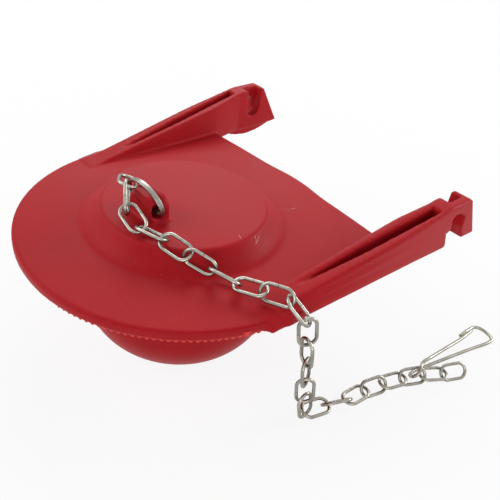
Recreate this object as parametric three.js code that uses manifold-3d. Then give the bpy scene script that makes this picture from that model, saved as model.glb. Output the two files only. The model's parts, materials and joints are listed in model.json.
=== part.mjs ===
// Toilet flapper with its lift chain, lug ring and clip, in millimetres, +Z up.
// The modelling frame has the valve axis on Z and the sealing face of the disc at z = 0. The arms run
// to +Y. At the end everything is lowered, so that the centre of the dome's flat top is the origin.

import * as THREE from 'three';
import { mergeVertices } from 'three/addons/utils/BufferGeometryUtils.js';
import Module from 'manifold-3d';

const wasm = await Module();
wasm.setup();

// Disc and dome
const discRadius = 43;
const discThickness = 3;
const rimRound = 0.5;
const rimDrop = 0.25;
const ringStepRadius = 34;
const ringStepHeight = 0.35;
const domeTopRadius = 21.8;
const domeBaseRadius = 27.4;
const domeHeight = 5.5;
const domeEdgeRound = 0.7;
const domeSweep = 1.7;
const domeWall = 2.6;

// Air bulb below the disc
const bulbRadius = 26.6;
const bulbStraight = 19;
const bulbBowlDepth = 19.2;
const bulbDepth = 31.5;
const bulbWall = 2.4;
const mouthRadius = 8;
const bulbFootRound = 0.8;
const bulbNeckRound = 1.2;
const chamberTaper = 1.6;

// Side flanges and the bowed back edge
const flangeHalfWidth = 44;
const flangeStartY = -7;
const flangeCorner = 5;
const flangeLap = 6;
const flangeFlare = 0.035;
const flangeHeight = 2.9;
const backEdgeMiddleY = 41.7;
const backEdgeBow = 1.8;

// Arms
const armStartY = -8;
const armEndY = 52.5;
const armTopAtAxis = 4.35;
const armTopSlope = 0.18;
const armTopOuter = 41.5;
const armTopOuterFlare = 0.11;
const armOuterLimit = 46.3;
const armInner = 35.7;
const armInnerFlare = 0.06;
const armDraft = 1.2;
const armFoot = 1.4;

// Slot along the top of each arm
const slotStartY = 7.5;
const slotFullY = 24;
const slotEndY = 50.5;
const slotOuter = 38.8;
const slotOuterFlare = 0.11;
const slotInner = 36.8;
const slotInnerFlare = 0.1;
const slotFloor = 2;
const slotTipWidth = 0.5;
const slotTipDepth = 0.2;

// Peg ears
const earInnerX = 39.9;
const earOuterX = 46.3;
const earMidX = 43.1;
const earLap = 8;
const earFarBottomY = 71;
const earFarTopY = 62.9;
const earTop = 14;
const earToeHeight = 0.6;
const pegRadius = 3.1;
const pegY = 58.5;
const pegZ = 7.6;
const heelY = 55.8;
const heelHeight = 5.9;
const heelStep = 1.3;
const bellyDepth = 2.4;
const bellyInset = 0.8;
const pastEar = 5;

// Eye lug for the chain
const lugHalfWidth = 5.8;
const lugBackY = -8.8;
const lugFrontY = -14.3;
const lugRise = 6.8;
const lugCorner = 3.6;
const lugRoot = 1;
const noseBackY = -11.2;
const noseHalfWidth = 5.6;
const noseRise = 6.2;
const noseLean = 0.2;
const lugLap = 0.5;
const lugHoleRadius = 1.6;
const lugHoleRise = 2.7;
const lugHoleForward = 0.35;

// Strip ring in the lug
const stripThickness = 0.6;
const stripWidth = 1.3;
const stripHalfSpan = 6.9;
const stripRise = 6.4;
const stripLean = 13;
const stripYaw = 4;
const stripSlide = -0.1;
const stripCorner = 1;

// Chain links and clip
const wireDiameter = 0.9;
const linkLength = 9;
const linkWidth = 5.2;
const clipWire = 1;

// Mesh fineness
const roundSegments = 80;
const smallSegments = 24;

const rubber = { name: 'red_rubber', color: 0xb3202a, roughness: 0.5, metalness: 0 };
const steel = { name: 'bright_steel', color: 0xa9a69c, roughness: 0.35, metalness: 1 };

const surfaceZ = -bulbDepth;
const discTop = discThickness;
const domeTop = discTop + domeHeight;

// Boolean helpers

function bare(geometry) {
  const copy = geometry.clone();
  for (const name of ['normal', 'uv']) {
    copy.deleteAttribute(name);
  }
  return mergeVertices(copy, 1e-4);
}

function solid(geometry) {
  const merged = bare(geometry);
  return new wasm.Manifold(new wasm.Mesh({
    numProp: 3,
    vertProperties: new Float32Array(merged.attributes.position.array),
    triVerts: new Uint32Array(merged.index.array),
  }));
}

function geometryOf(manifold) {
  const mesh = manifold.getMesh();
  const geometry = new THREE.BufferGeometry();
  geometry.setAttribute('position', new THREE.BufferAttribute(mesh.vertProperties, 3));
  geometry.setIndex(new THREE.BufferAttribute(mesh.triVerts, 1));
  const faceted = geometry.toNonIndexed();
  faceted.computeVertexNormals();
  return faceted;
}

function mirrorX(geometry) {
  const mirrored = bare(geometry);
  mirrored.scale(-1, 1, 1);
  const index = mirrored.index.array;
  for (let i = 0; i < index.length; i += 3) {
    [index[i], index[i + 1]] = [index[i + 1], index[i]];
  }
  return mirrored;
}

// Prisms: an outline in two axes, pushed along the third

function outline(points) {
  return new THREE.Shape(points.map(([a, b]) => new THREE.Vector2(a, b)));
}

function pushed(shape, depth, curveSegments) {
  return new THREE.ExtrudeGeometry(shape, { depth, bevelEnabled: false, curveSegments });
}

function prismZ(shape, low, high, curveSegments = smallSegments) {
  const geometry = pushed(shape, high - low, curveSegments);
  return geometry.translate(0, 0, low);
}

function prismX(shape, low, high, curveSegments = smallSegments) {
  const geometry = pushed(shape, high - low, curveSegments);
  const turn = new THREE.Matrix4().makeBasis(
    new THREE.Vector3(0, 1, 0), new THREE.Vector3(0, 0, 1), new THREE.Vector3(1, 0, 0));
  return geometry.applyMatrix4(turn).translate(low, 0, 0);
}

function prismY(shape, low, high, curveSegments = smallSegments) {
  const geometry = pushed(shape, high - low, curveSegments);
  const turn = new THREE.Matrix4().makeBasis(
    new THREE.Vector3(1, 0, 0), new THREE.Vector3(0, 0, 1), new THREE.Vector3(0, -1, 0));
  return geometry.applyMatrix4(turn).translate(0, high, 0);
}

// A prism along Y whose section changes from station to station
function taperedBar(stations, sectionAt) {
  const first = sectionAt(stations[0]);
  const geometry = new THREE.ExtrudeGeometry(outline(first), {
    depth: stations.length - 1, steps: stations.length - 1, bevelEnabled: false,
  });
  const position = geometry.attributes.position;
  for (let i = 0; i < position.count; i += 1) {
    const corner = first.findIndex(([a, b]) => (
      Math.hypot(a - position.getX(i), b - position.getY(i)) < 1e-4));
    const y = stations[Math.round(position.getZ(i))];
    const [x, z] = sectionAt(y)[corner];
    position.setXYZ(i, x, y, z);
  }
  return geometry;
}

function turnedInsideOut(geometry) {
  const turned = bare(geometry);
  const index = turned.index.array;
  for (let i = 0; i < index.length; i += 3) {
    [index[i], index[i + 1]] = [index[i + 1], index[i]];
  }
  return turned;
}

// Disc, dome and bulb: one turned shell

function bowlRadius(z, radius, depth) {
  const drop = Math.max(0, -bulbStraight - z) / depth;
  return radius * Math.sqrt(Math.max(0, 1 - drop * drop));
}

function bowlPoints(radius, depth, bottom, steps) {
  const points = [];
  for (let i = 0; i <= steps; i += 1) {
    const z = -bulbStraight + (bottom + bulbStraight) * Math.sin((i / steps) * Math.PI / 2);
    points.push([bowlRadius(z, radius, depth), z]);
  }
  return points;
}

function turnedShell() {
  const innerRadius = bulbRadius - bulbWall;
  const innerFloor = surfaceZ + bulbWall;
  const slope = [];
  const slopeSteps = 6;
  for (let i = 0; i <= slopeSteps; i += 1) {
    const t = i / slopeSteps;
    const r = domeTopRadius + (domeBaseRadius - domeTopRadius) * t;
    slope.push([r, discTop + ringStepHeight + (domeHeight - ringStepHeight) * (1 - t) ** domeSweep]);
  }
  const outerBowl = bowlPoints(bulbRadius, bulbBowlDepth, surfaceZ + bulbFootRound, 10);
  const foot = outerBowl[outerBowl.length - 1][0] - bulbFootRound;
  const innerBowl = bowlPoints(innerRadius, bulbBowlDepth - bulbWall, innerFloor, 8).reverse();
  const profile = [
    [0, domeTop],
    [domeTopRadius - domeEdgeRound, domeTop],
    ...slope.slice(1),
    [ringStepRadius, discTop],
    [discRadius - rimRound, discTop - rimDrop],
    [discRadius, discTop - rimDrop - rimRound],
    [discRadius, rimRound],
    [discRadius - rimRound, 0],
    [bulbRadius + bulbNeckRound, 0],
    [bulbRadius, -bulbNeckRound],
    ...outerBowl,
    [foot, surfaceZ],
    [mouthRadius, surfaceZ],
    [mouthRadius, innerFloor],
    ...innerBowl,
    [innerRadius, 0],
    [innerRadius - chamberTaper, domeTop - domeWall - discTop],
    [domeTopRadius - domeWall, domeTop - domeWall],
    [0, domeTop - domeWall],
  ];
  const points = profile.map(([r, z]) => new THREE.Vector2(r, z)).reverse();
  return solid(new THREE.LatheGeometry(points, roundSegments).rotateX(Math.PI / 2));
}

// Flat web behind the disc, out to the side flanges

function flangeX(y) {
  return flangeHalfWidth + flangeFlare * Math.max(0, y);
}

function backWeb() {
  const half = armInner + armInnerFlare * backEdgeMiddleY + 1;
  const cornerY = backEdgeMiddleY - backEdgeBow;
  const shape = new THREE.Shape();
  shape.moveTo(-half, 0);
  shape.lineTo(half, 0);
  shape.lineTo(half, cornerY);
  shape.quadraticCurveTo(0, backEdgeMiddleY + backEdgeBow, -half, cornerY);
  shape.closePath();
  const web = solid(prismZ(shape, 0, flangeHeight));
  const bore = new THREE.CylinderGeometry(domeTopRadius, domeTopRadius, 4 * flangeHeight, roundSegments);
  return web.subtract(solid(bore.rotateX(Math.PI / 2)));
}

// One arm, on the +X side

function armTop(y) {
  return armTopAtAxis + armTopSlope * y;
}

function armSection(y) {
  const top = Math.max(flangeHeight, armTop(y));
  const inner = armInner + armInnerFlare * y;
  const outer = Math.min(armTopOuter + armTopOuterFlare * y, armOuterLimit);
  return [
    [inner - armDraft, 0],
    [flangeX(y), 0],
    [flangeX(y), armFoot],
    [outer, top],
    [inner, top],
  ];
}

function slotSection(y) {
  const grown = Math.min(1, (y - slotStartY) / (slotFullY - slotStartY));
  const middle = (slotOuter + slotInner + (slotOuterFlare + slotInnerFlare) * y) / 2;
  const full = slotOuter - slotInner + (slotOuterFlare - slotInnerFlare) * y;
  const half = (slotTipWidth + (full - slotTipWidth) * grown) / 2;
  const top = armTop(y) + 1;
  const tipFloor = armTop(y) - slotTipDepth;
  const floor = tipFloor + (slotFloor - tipFloor) * grown;
  return [
    [middle - half, floor],
    [middle + half, floor],
    [middle + half, top],
    [middle - half, top],
  ];
}

function earSide() {
  const earStartY = armEndY - earLap;
  return [
    [earStartY, 0],
    [heelY - heelStep, 0],
    [earFarBottomY - 4, 0],
    [earFarBottomY, earToeHeight],
    [earFarTopY, earTop],
    [armEndY + 1, earTop],
    [earStartY, armTop(earStartY)],
  ];
}

function pegSlot(openUp) {
  const shape = new THREE.Shape();
  const far = openUp ? earTop + pastEar : -pastEar;
  shape.absarc(pegY, pegZ, pegRadius, openUp ? Math.PI : 0, openUp ? 2 * Math.PI : Math.PI, false);
  shape.lineTo(openUp ? pegY + pegRadius : pegY - pegRadius, far);
  shape.lineTo(openUp ? pegY - pegRadius : pegY + pegRadius, far);
  shape.closePath();
  return shape;
}

function ear() {
  const block = solid(prismX(outline(earSide()), earInnerX, earOuterX));
  const belly = new THREE.Shape();
  belly.moveTo(armEndY - earLap, earToeHeight);
  belly.quadraticCurveTo(pegY, -2 * bellyDepth - earToeHeight, earFarBottomY - 2.5, earToeHeight);
  belly.closePath();
  const inner = solid(prismX(pegSlot(true), earInnerX - pastEar, earMidX));
  const outer = solid(prismX(pegSlot(false), earMidX, earOuterX + pastEar));
  const heelCut = outline([
    [heelY - heelStep, heelHeight],
    [heelY, -pastEar],
    [pegY, -pastEar],
    [pegY, heelHeight],
  ]);
  return block
    .add(solid(prismX(belly, earInnerX + bellyInset, earMidX)))
    .subtract(inner)
    .subtract(outer)
    .subtract(solid(prismX(heelCut, earMidX, earOuterX + pastEar)));
}

function arm() {
  const stations = [armStartY, 0, slotFullY, 44, armEndY];
  const bar = solid(turnedInsideOut(taperedBar(stations, armSection)));
  const slot = solid(turnedInsideOut(taperedBar([slotStartY, 12, 18, slotFullY, slotEndY], slotSection)));
  return bar.add(ear()).subtract(slot);
}

// Side flange ahead of the arm, where the disc's edge runs straight
function sideFlange() {
  const shape = outline([
    [armInner - flangeLap, flangeStartY],
    [flangeHalfWidth - 2, flangeStartY],
    [flangeHalfWidth, flangeStartY + flangeCorner],
    [flangeHalfWidth, 2],
    [armInner - flangeLap, 2],
  ]);
  return solid(prismZ(shape, 0, flangeHeight - 0.2));
}

// Eye lug on the dome, with a cross hole for the ring

function rearOutline(root) {
  const top = domeTop + lugRise - lugCorner;
  const corner = lugHalfWidth - lugCorner;
  const shape = new THREE.Shape();
  shape.moveTo(-lugHalfWidth, root);
  shape.lineTo(lugHalfWidth, root);
  shape.absarc(corner, top, lugCorner, 0, Math.PI / 2, false);
  shape.absarc(-corner, top, lugCorner, Math.PI / 2, Math.PI, false);
  shape.closePath();
  return shape;
}

function noseOutline(root) {
  const top = domeTop + noseRise;
  const shoulder = domeTop + noseRise / 4;
  const side = noseHalfWidth - noseLean;
  const flank = noseHalfWidth - 0.9;
  const crown = noseHalfWidth - 2.2;
  const shape = new THREE.Shape();
  shape.moveTo(-noseHalfWidth, root);
  shape.lineTo(noseHalfWidth, root);
  shape.lineTo(side, shoulder);
  shape.bezierCurveTo(flank, top - 1.8, crown, top, 0, top);
  shape.bezierCurveTo(-crown, top, -flank, top - 1.8, -side, shoulder);
  shape.closePath();
  return shape;
}

function lug() {
  const root = domeTop - lugRoot;
  const rear = solid(prismY(rearOutline(root), noseBackY, lugBackY, 12));
  const nose = solid(prismY(noseOutline(root), lugFrontY, noseBackY + lugLap, 12));
  const hole = new THREE.CylinderGeometry(lugHoleRadius, lugHoleRadius, 4 * lugHalfWidth, smallSegments);
  hole.rotateZ(Math.PI / 2).translate(0, lugMiddleY(), lugHoleZ());
  return { block: rear.add(nose), hole: solid(hole) };
}

function lugMiddleY() {
  return (lugBackY + lugFrontY) / 2 - lugHoleForward;
}

function lugHoleZ() {
  return domeTop + lugHoleRise;
}

function flapperBody() {
  const right = arm().add(sideFlange());
  const left = solid(mirrorX(geometryOf(right)));
  const eye = lug();
  const whole = turnedShell().add(backWeb()).add(right).add(left).add(eye.block).subtract(eye.hole);
  return geometryOf(whole);
}

// Ring: a strip bent to a D, its straight side in the lug's hole

function stripRing() {
  const middle = stripHalfSpan - stripThickness / 2;
  const half = stripThickness / 2;
  const shape = dOutline(middle + half, stripRise + half, -half);
  shape.holes.push(dOutline(middle - half, stripRise - half, half));
  const geometry = prismY(shape, -stripWidth / 2, stripWidth / 2, 20);
  geometry.rotateX(THREE.MathUtils.degToRad(stripLean)).rotateZ(THREE.MathUtils.degToRad(stripYaw));
  return geometry.translate(stripSlide, lugMiddleY(), lugHoleZ());
}

function dOutline(halfSpan, rise, low) {
  const corner = stripCorner;
  const shape = new THREE.Shape();
  shape.moveTo(-halfSpan + corner, low);
  shape.lineTo(halfSpan - corner, low);
  shape.quadraticCurveTo(halfSpan, low, halfSpan, low + corner);
  shape.absellipse(0, low + corner, halfSpan, rise - low - corner, 0, Math.PI, false);
  shape.quadraticCurveTo(-halfSpan, low, -halfSpan + corner, low);
  return shape;
}

// A chain link: a ring of round wire, pulled apart at its middle

function linkGeometry() {
  const bend = (linkWidth - wireDiameter) / 2;
  const pull = (linkLength - linkWidth) / 2;
  const around = 16;
  const geometry = new THREE.TorusGeometry(bend, wireDiameter / 2, 8, around);
  geometry.rotateZ(Math.PI / around);
  const position = geometry.attributes.position;
  for (let i = 0; i < position.count; i += 1) {
    position.setX(i, position.getX(i) + Math.sign(position.getX(i)) * pull);
  }
  return geometry;
}

// Where the links drop over the body's side, and the run from the dome's edge to there
const sideX = Math.max(discRadius + 1, flangeHalfWidth);
const sideRun = sideX - domeTopRadius;

// Places where one link hooks into the next, from the ring on the lug down to the free end.
// Each row is x, y, z, and then the turn of the link that starts there, about its own length.
const hooks = [
  [-7.3, -12.5, domeTop + 6.6, -18],
  [-1.4, -16.6, domeTop + 8.4, 100],
  [1.8, -18.6, domeTop + 4.3, 24],
  [7.3, -18.6, domeTop + 2.3, -28],
  [domeTopRadius - 7.8, -16, domeTop + 1.9, 30],
  [domeTopRadius - 2.1, -13.9, domeTop + 0.5, 84],
  [domeTopRadius + 0.16 * sideRun, -10.5, discTop + 3.8, -40],
  [domeTopRadius + 0.405 * sideRun, -7.8, discTop + 2.6, 8],
  [domeTopRadius + 0.68 * sideRun, -5, discTop + 3.3, 70],
  [sideX - 1.5, -2.5, discTop + 3.9, -6],
  [sideX + 2.8, 0, discTop - 0.8, -62],
  [sideX + 3.4, 0.9, surfaceZ + 27.3, 12],
  [sideX + 4, 1.5, surfaceZ + 20.6, 68],
  [sideX + 4.6, 2.3, surfaceZ + 14.1, -52],
  [sideX + 5.2, 3, surfaceZ + 7.6, 88],
  [sideX + 5.6, 4, surfaceZ + 2.8, 12],
  [sideX + 7, 10.4, surfaceZ + 2.2, -52],
  [sideX + 9.3, 16.4, surfaceZ + 2.1, -4],
  [sideX + 9.7, 22.8, surfaceZ + 2, 48],
  [sideX + 11.3, 29.1, surfaceZ + 2, 0],
  [sideX + 13.2, 35.3, surfaceZ + 2, 48],
  [sideX + 15.9, 41.2, surfaceZ + 2, 0],
  [sideX + 19.2, 46.8, surfaceZ + 2, 48],
  [sideX + 21.8, 52.8, surfaceZ + 2, 0],
];

function place(from, to, turnDegrees) {
  const start = new THREE.Vector3(...from);
  const end = new THREE.Vector3(...to);
  const along = end.clone().sub(start).normalize();
  const up = Math.abs(along.z) > 0.9 ? new THREE.Vector3(0, 1, 0) : new THREE.Vector3(0, 0, 1);
  const side = up.clone().cross(along).normalize();
  const top = along.clone().cross(side);
  const turn = THREE.MathUtils.degToRad(turnDegrees);
  const acrossY = side.clone().multiplyScalar(Math.cos(turn)).addScaledVector(top, Math.sin(turn));
  const acrossZ = along.clone().cross(acrossY);
  const matrix = new THREE.Matrix4().makeBasis(along, acrossY, acrossZ);
  matrix.setPosition(start.add(end).multiplyScalar(0.5));
  return matrix;
}

// Clip: one wire, from its latch tip round the end coil and back to the hook that holds the tip.
// Each row is the way out from the body's side, y, and the height of the wire's middle.
const clipRoute = [
  [14, 70.5, 1.7],
  [14.1, 65, 1.5],
  [13.7, 57, 1.7],
  [13.4, 49, 2.1],
  [13.8, 44.2, 3.6],
  [14.7, 41.2, 4.8],
  [15.7, 39, 3.8],
  [14.9, 38.1, 2.3],
  [13.6, 38.8, 1.2],
  [13.1, 41.4, 0.7],
  [13.9, 45.6, 0.5],
  [15.9, 55, 0.5],
  [17.9, 64, 0.5],
  [19.8, 72.6, 0.5],
  [19.3, 74.4, 0.5],
  [15.2, 75.4, 0.5],
  [13.3, 74.2, 0.5],
  [12.8, 71, 0.6],
  [12.8, 66.6, 0.6],
];

function clip() {
  const route = clipRoute.map(([out, y, height]) => new THREE.Vector3(sideX + out, y, surfaceZ + height));
  const path = new THREE.CatmullRomCurve3(route, false, 'centripetal');
  const section = new THREE.Shape();
  section.absarc(0, 0, clipWire / 2, 0, 2 * Math.PI, false);
  return new THREE.ExtrudeGeometry(section, {
    steps: 60, curveSegments: 5, bevelEnabled: false, extrudePath: path,
  });
}

// The assembly

const whole = new THREE.Group();
whole.position.z = -domeTop;

function addPiece(name, geometry, finish) {
  const mesh = new THREE.Mesh(geometry, new THREE.MeshStandardMaterial(finish));
  mesh.name = name;
  whole.add(mesh);
  return mesh;
}

addPiece('flapper_body', flapperBody(), rubber);
addPiece('lug_ring', stripRing(), steel);
addPiece('clip', clip(), steel);

const oneLink = linkGeometry();
for (let i = 0; i + 1 < hooks.length; i += 1) {
  const [x, y, z, turn] = hooks[i];
  const matrix = place([x, y, z], hooks[i + 1].slice(0, 3), turn);
  const link = addPiece(`chain_link_${String(i + 1).padStart(2, '0')}`, oneLink, steel);
  link.position.setFromMatrixPosition(matrix);
  link.quaternion.setFromRotationMatrix(matrix);
}

export default whole;
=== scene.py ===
# %% [markdown]
# # A toilet flapper, dressed for its picture
#
# The object is the valve of a toilet cistern: one moulding of soft red rubber, with a steel ring,
# a chain of 23 bent links and a wire clip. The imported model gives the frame: its solids are the true
# sizes, and everything made here is in metres in that same frame.

# %% Load the frame
import json
import math

import bmesh
import bpy
import mathutils
import numpy as np
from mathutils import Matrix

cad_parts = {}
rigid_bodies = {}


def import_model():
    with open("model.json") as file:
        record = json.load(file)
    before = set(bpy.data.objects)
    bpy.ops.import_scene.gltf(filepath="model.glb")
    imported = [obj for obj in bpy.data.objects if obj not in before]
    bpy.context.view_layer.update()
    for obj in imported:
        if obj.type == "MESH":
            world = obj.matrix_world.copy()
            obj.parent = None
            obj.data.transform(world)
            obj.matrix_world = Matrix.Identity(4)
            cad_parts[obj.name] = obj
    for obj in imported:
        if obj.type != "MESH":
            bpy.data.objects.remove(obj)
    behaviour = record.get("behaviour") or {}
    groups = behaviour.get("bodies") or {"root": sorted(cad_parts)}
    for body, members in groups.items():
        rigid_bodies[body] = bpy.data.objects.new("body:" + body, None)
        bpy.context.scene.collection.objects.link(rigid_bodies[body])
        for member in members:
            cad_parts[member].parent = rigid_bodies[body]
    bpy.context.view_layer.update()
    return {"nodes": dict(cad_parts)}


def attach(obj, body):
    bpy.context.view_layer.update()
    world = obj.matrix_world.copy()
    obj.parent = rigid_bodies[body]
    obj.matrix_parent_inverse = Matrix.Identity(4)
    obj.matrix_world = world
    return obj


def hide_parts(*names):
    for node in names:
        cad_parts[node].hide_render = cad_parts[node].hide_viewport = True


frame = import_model()
scene = bpy.context.scene

# %% [markdown]
# The sizes below are in millimetres, the unit on a mould maker's drawing. The drawing puts z = 0 at
# the sealing face under the disc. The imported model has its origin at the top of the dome, 8.5 mm
# higher, so one function turns drawing points into model points.

# %% Units and the drawing's frame
MM = 0.001
DOME_TOP = 8.5
FLOOR = -31.5


def to_model(points):
    """Drawing millimetres to model metres."""
    moved = np.array(points, dtype=float)
    moved[..., 2] -= DOME_TOP
    return moved * MM


print("the surface it lies on is at z =", round((FLOOR - DOME_TOP) * MM, 4), "m")

# %% [markdown]
# ## The camera
#
# A camera is a place, a direction and a lens. These come from fitting the round disc, the arms and
# the bulb of the photograph with one pinhole camera. The three axes are written out because the
# photograph is rolled a little: a tracking camera would stay level.

# %% Camera
CAMERA_PLACE = (0.10384, -0.08047, 0.08129)
CAMERA_RIGHT = (0.6498, 0.7506, 0.1197)
CAMERA_UP = (-0.5096, 0.3134, 0.8013)
FOCAL_PIXELS = 587.95
PICTURE_PIXELS = 500


def make_camera():
    right = np.array(CAMERA_RIGHT) / np.linalg.norm(CAMERA_RIGHT)
    up = np.array(CAMERA_UP) - right * np.dot(right, CAMERA_UP)
    up /= np.linalg.norm(up)
    back = np.cross(right, up)
    data = bpy.data.cameras.new("camera")
    data.sensor_width = 36
    data.lens = FOCAL_PIXELS / PICTURE_PIXELS * data.sensor_width
    data.clip_start = 0.005
    camera = bpy.data.objects.new("camera", data)
    rows = np.eye(4)
    rows[:3, 0], rows[:3, 1], rows[:3, 2], rows[:3, 3] = right, up, back, CAMERA_PLACE
    camera.matrix_world = mathutils.Matrix(rows.tolist())
    scene.collection.objects.link(camera)
    scene.camera = camera
    return camera


camera = make_camera()
print("lens:", round(camera.data.lens, 2), "mm")

# %% [markdown]
# ## The rubber moulding
#
# Moulded rubber has no sharp corners: every wall runs into the next through a small radius. Meshes
# made of faces need each radius modelled by hand. A distance field gives them all at once. Every
# shape is a function that says how far a point is from its skin, negative inside, and two shapes
# join through a radius when their distances are blended. The field is sampled on a grid, and the
# skin is drawn where it crosses zero.

# %% The grid
GRID_STEP = 0.5
HALF_WIDTH = 47.5
GRID_LOW = (-HALF_WIDTH, -44.5, FLOOR - 1.5)
GRID_HIGH = (HALF_WIDTH, 72.5, 17.0)


def axis_points(low, high):
    return low + GRID_STEP * np.arange(int(round((high - low) / GRID_STEP)) + 1)


grid_x = axis_points(0, HALF_WIDTH)
grid_y = axis_points(GRID_LOW[1], GRID_HIGH[1])
grid_z = axis_points(GRID_LOW[2], GRID_HIGH[2])
X = grid_x[:, None, None].astype(np.float32)
Y = grid_y[None, :, None].astype(np.float32)
Z = grid_z[None, None, :].astype(np.float32)
print("half grid:", len(grid_x), "x", len(grid_y), "x", len(grid_z))

# %% [markdown]
# Three small tools do most of the work: the distance to a drawn outline, and the joining and cutting
# of two fields with a radius.

# %% Distance tools


def outline_distance(points, u, v):
    """Signed distance from the points (u, v) to a closed outline, negative inside."""
    points = np.array(points, dtype=np.float32)
    nearest = np.full(np.broadcast(u, v).shape, 1e9, dtype=np.float32)
    crossings = np.zeros(nearest.shape, dtype=np.int32)
    for (u0, v0), (u1, v1) in zip(points, np.roll(points, -1, axis=0)):
        du, dv = u1 - u0, v1 - v0
        length = max(du * du + dv * dv, 1e-9)
        along = np.clip(((u - u0) * du + (v - v0) * dv) / length, 0, 1)
        nearest = np.minimum(nearest, (u - u0 - along * du) ** 2 + (v - v0 - along * dv) ** 2)
        if v0 != v1:
            crossings += ((v0 > v) != (v1 > v)) & (u < u0 + (v - v0) * du / dv)
    return np.sqrt(nearest) * np.where(crossings % 2 == 1, -1, 1).astype(np.float32)


def join(a, b, radius):
    """Union of two fields with a fillet."""
    blend = np.clip(0.5 + 0.5 * (b - a) / radius, 0, 1)
    return b + (a - b) * blend - radius * blend * (1 - blend)


def keep(a, b, radius):
    """Intersection of two fields with a rounded edge."""
    return -join(-a, -b, radius)


def cut(a, b, radius):
    """The first field with the second taken out of it."""
    return keep(a, -b, radius)


def between(coordinate, low, high):
    return np.maximum(low - coordinate, coordinate - high)


square = [(-1, -1), (1, -1), (1, 1), (-1, 1)]
print("middle of a 2 mm square:", outline_distance(square, np.zeros(1), np.zeros(1))[0], "mm from its skin")

# %% [markdown]
# ### Disc, dome and bulb
#
# These three are turned round the valve's axis, so they are drawn once, as an outline of radius
# against height. The dome's side is a concave sweep, and the bulb ends in a flat foot with a drain
# mouth. The outline's field is worked out in the flat and then looked up by each grid point's radius.

# %% Outline of the turned shell
DISC_RADIUS = 43
DISC_THICKNESS = 3
RIM_DROP = 0.25
RING_STEP_RADIUS = 34
RING_STEP_HEIGHT = 0.35
DOME_RADIUS = 21.8
DOME_BASE_RADIUS = 27.4
DOME_EDGE = 0.3
DOME_SWEEP = 1.7
DOME_WALL = 2.6
BULB_RADIUS = 26.6
BULB_WALL = 2.4
BULB_NECK = 1.2
BULB_STRAIGHT = 19
BOWL_DEPTH = 19.2
MOUTH_RADIUS = 8
CHAMBER_TAPER = 1.6
CHAMBER_TOP = DISC_THICKNESS - 0.4
PAST_AXIS = -5


def bowl(radius, depth, bottom, count=40):
    """Half an ellipse's side, from the bulb's straight part down to the bottom."""
    heights = -BULB_STRAIGHT + (bottom + BULB_STRAIGHT) * np.sin(np.linspace(0, np.pi / 2, count))
    drop = (-BULB_STRAIGHT - heights) / depth
    return [(radius * math.sqrt(max(0, 1 - d * d)), z) for d, z in zip(drop, heights)]


def shell_outline():
    """Radius and height, once round the shell's section, from the axis over the top and back inside."""
    dome_side = []
    for t in np.linspace(0, 1, 25):
        radius = DOME_RADIUS + (DOME_BASE_RADIUS - DOME_RADIUS) * t
        rise = DOME_TOP - DISC_THICKNESS - RING_STEP_HEIGHT
        dome_side.append((radius, DISC_THICKNESS + RING_STEP_HEIGHT + rise * (1 - t) ** DOME_SWEEP))
    inner_radius = BULB_RADIUS - BULB_WALL
    ceiling = DOME_TOP - DOME_WALL
    outer = bowl(BULB_RADIUS, BOWL_DEPTH, FLOOR)
    inner = bowl(inner_radius, BOWL_DEPTH - BULB_WALL, FLOOR + BULB_WALL)[::-1]
    top = [(PAST_AXIS, DOME_TOP), (DOME_RADIUS - DOME_EDGE, DOME_TOP)] + dome_side
    rim = [(RING_STEP_RADIUS, DISC_THICKNESS), (DISC_RADIUS, DISC_THICKNESS - RIM_DROP), (DISC_RADIUS, 0)]
    below = [(BULB_RADIUS + BULB_NECK, 0), (BULB_RADIUS, -BULB_NECK)] + outer
    mouth = [(MOUTH_RADIUS, FLOOR), (MOUTH_RADIUS, FLOOR + BULB_WALL)] + inner
    inside = [(inner_radius, 0), (inner_radius - CHAMBER_TAPER, CHAMBER_TOP),
              (DOME_RADIUS - DOME_WALL, ceiling), (PAST_AXIS, ceiling)]
    return top + rim + below + mouth + inside


outline = shell_outline()
print("shell outline:", len(outline), "points")

# %% Turning the outline
TABLE_STEP = 0.25
TABLE_REACH = 72
SHELL_EDGE = 0.5
SOFTEN_REACH = 1.2


def soften(table, radius):
    """Round the corners of a flat field by averaging it over a small disc."""
    steps = max(1, int(round(radius / TABLE_STEP)))
    total = np.zeros_like(table)
    weight = 0
    padded = np.pad(table, steps, mode="edge")
    rows, columns = table.shape
    for i in range(-steps, steps + 1):
        for j in range(-1, 2):
            share = max(0.0, SOFTEN_REACH - math.hypot(i / steps, j))
            total += share * padded[steps + i:steps + i + rows, steps + j:steps + j + columns]
            weight += share
    return total / weight


def turned(outline, edge_radius):
    """The outline's distances in the flat, looked up by each grid point's radius."""
    radii = np.arange(0, TABLE_REACH, TABLE_STEP, dtype=np.float32)
    table = outline_distance(outline, radii[:, None], Z[0])
    table = soften(table, edge_radius)
    place = np.hypot(X[:, :, 0], Y[:, :, 0]) / TABLE_STEP
    low = np.clip(place.astype(int), 0, len(radii) - 2)
    share = np.clip(place - low, 0, 1)[:, :, None].astype(np.float32)
    return table[low] * (1 - share) + table[low + 1] * share


shell = turned(outline, SHELL_EDGE)
print("shell's distances: from", round(float(shell.min()), 2), "to", round(float(shell.max()), 2), "mm")

# %% [markdown]
# ### The flat web and the arms
#
# Behind the disc the rubber runs on as a flat web, with a slightly bowed back edge, out to two arms.
# Each arm is a bar that rises and leans outwards, with a narrow slot moulded into its top. Its
# section is the meeting of a few tilted planes, so its field is the greatest of their distances.

# %% Web
FLANGE_HALF_WIDTH = 44
FLANGE_FLARE = 0.035
FLANGE_HEIGHT = 2.9
WEB_HALF_WIDTH = 39.2
WEB_EDGE = 0.5
BACK_EDGE_MIDDLE = 41.7
BACK_EDGE_BOW = 1.8


def flange_edge(y):
    return FLANGE_HALF_WIDTH + FLANGE_FLARE * np.maximum(0, y)


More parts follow.
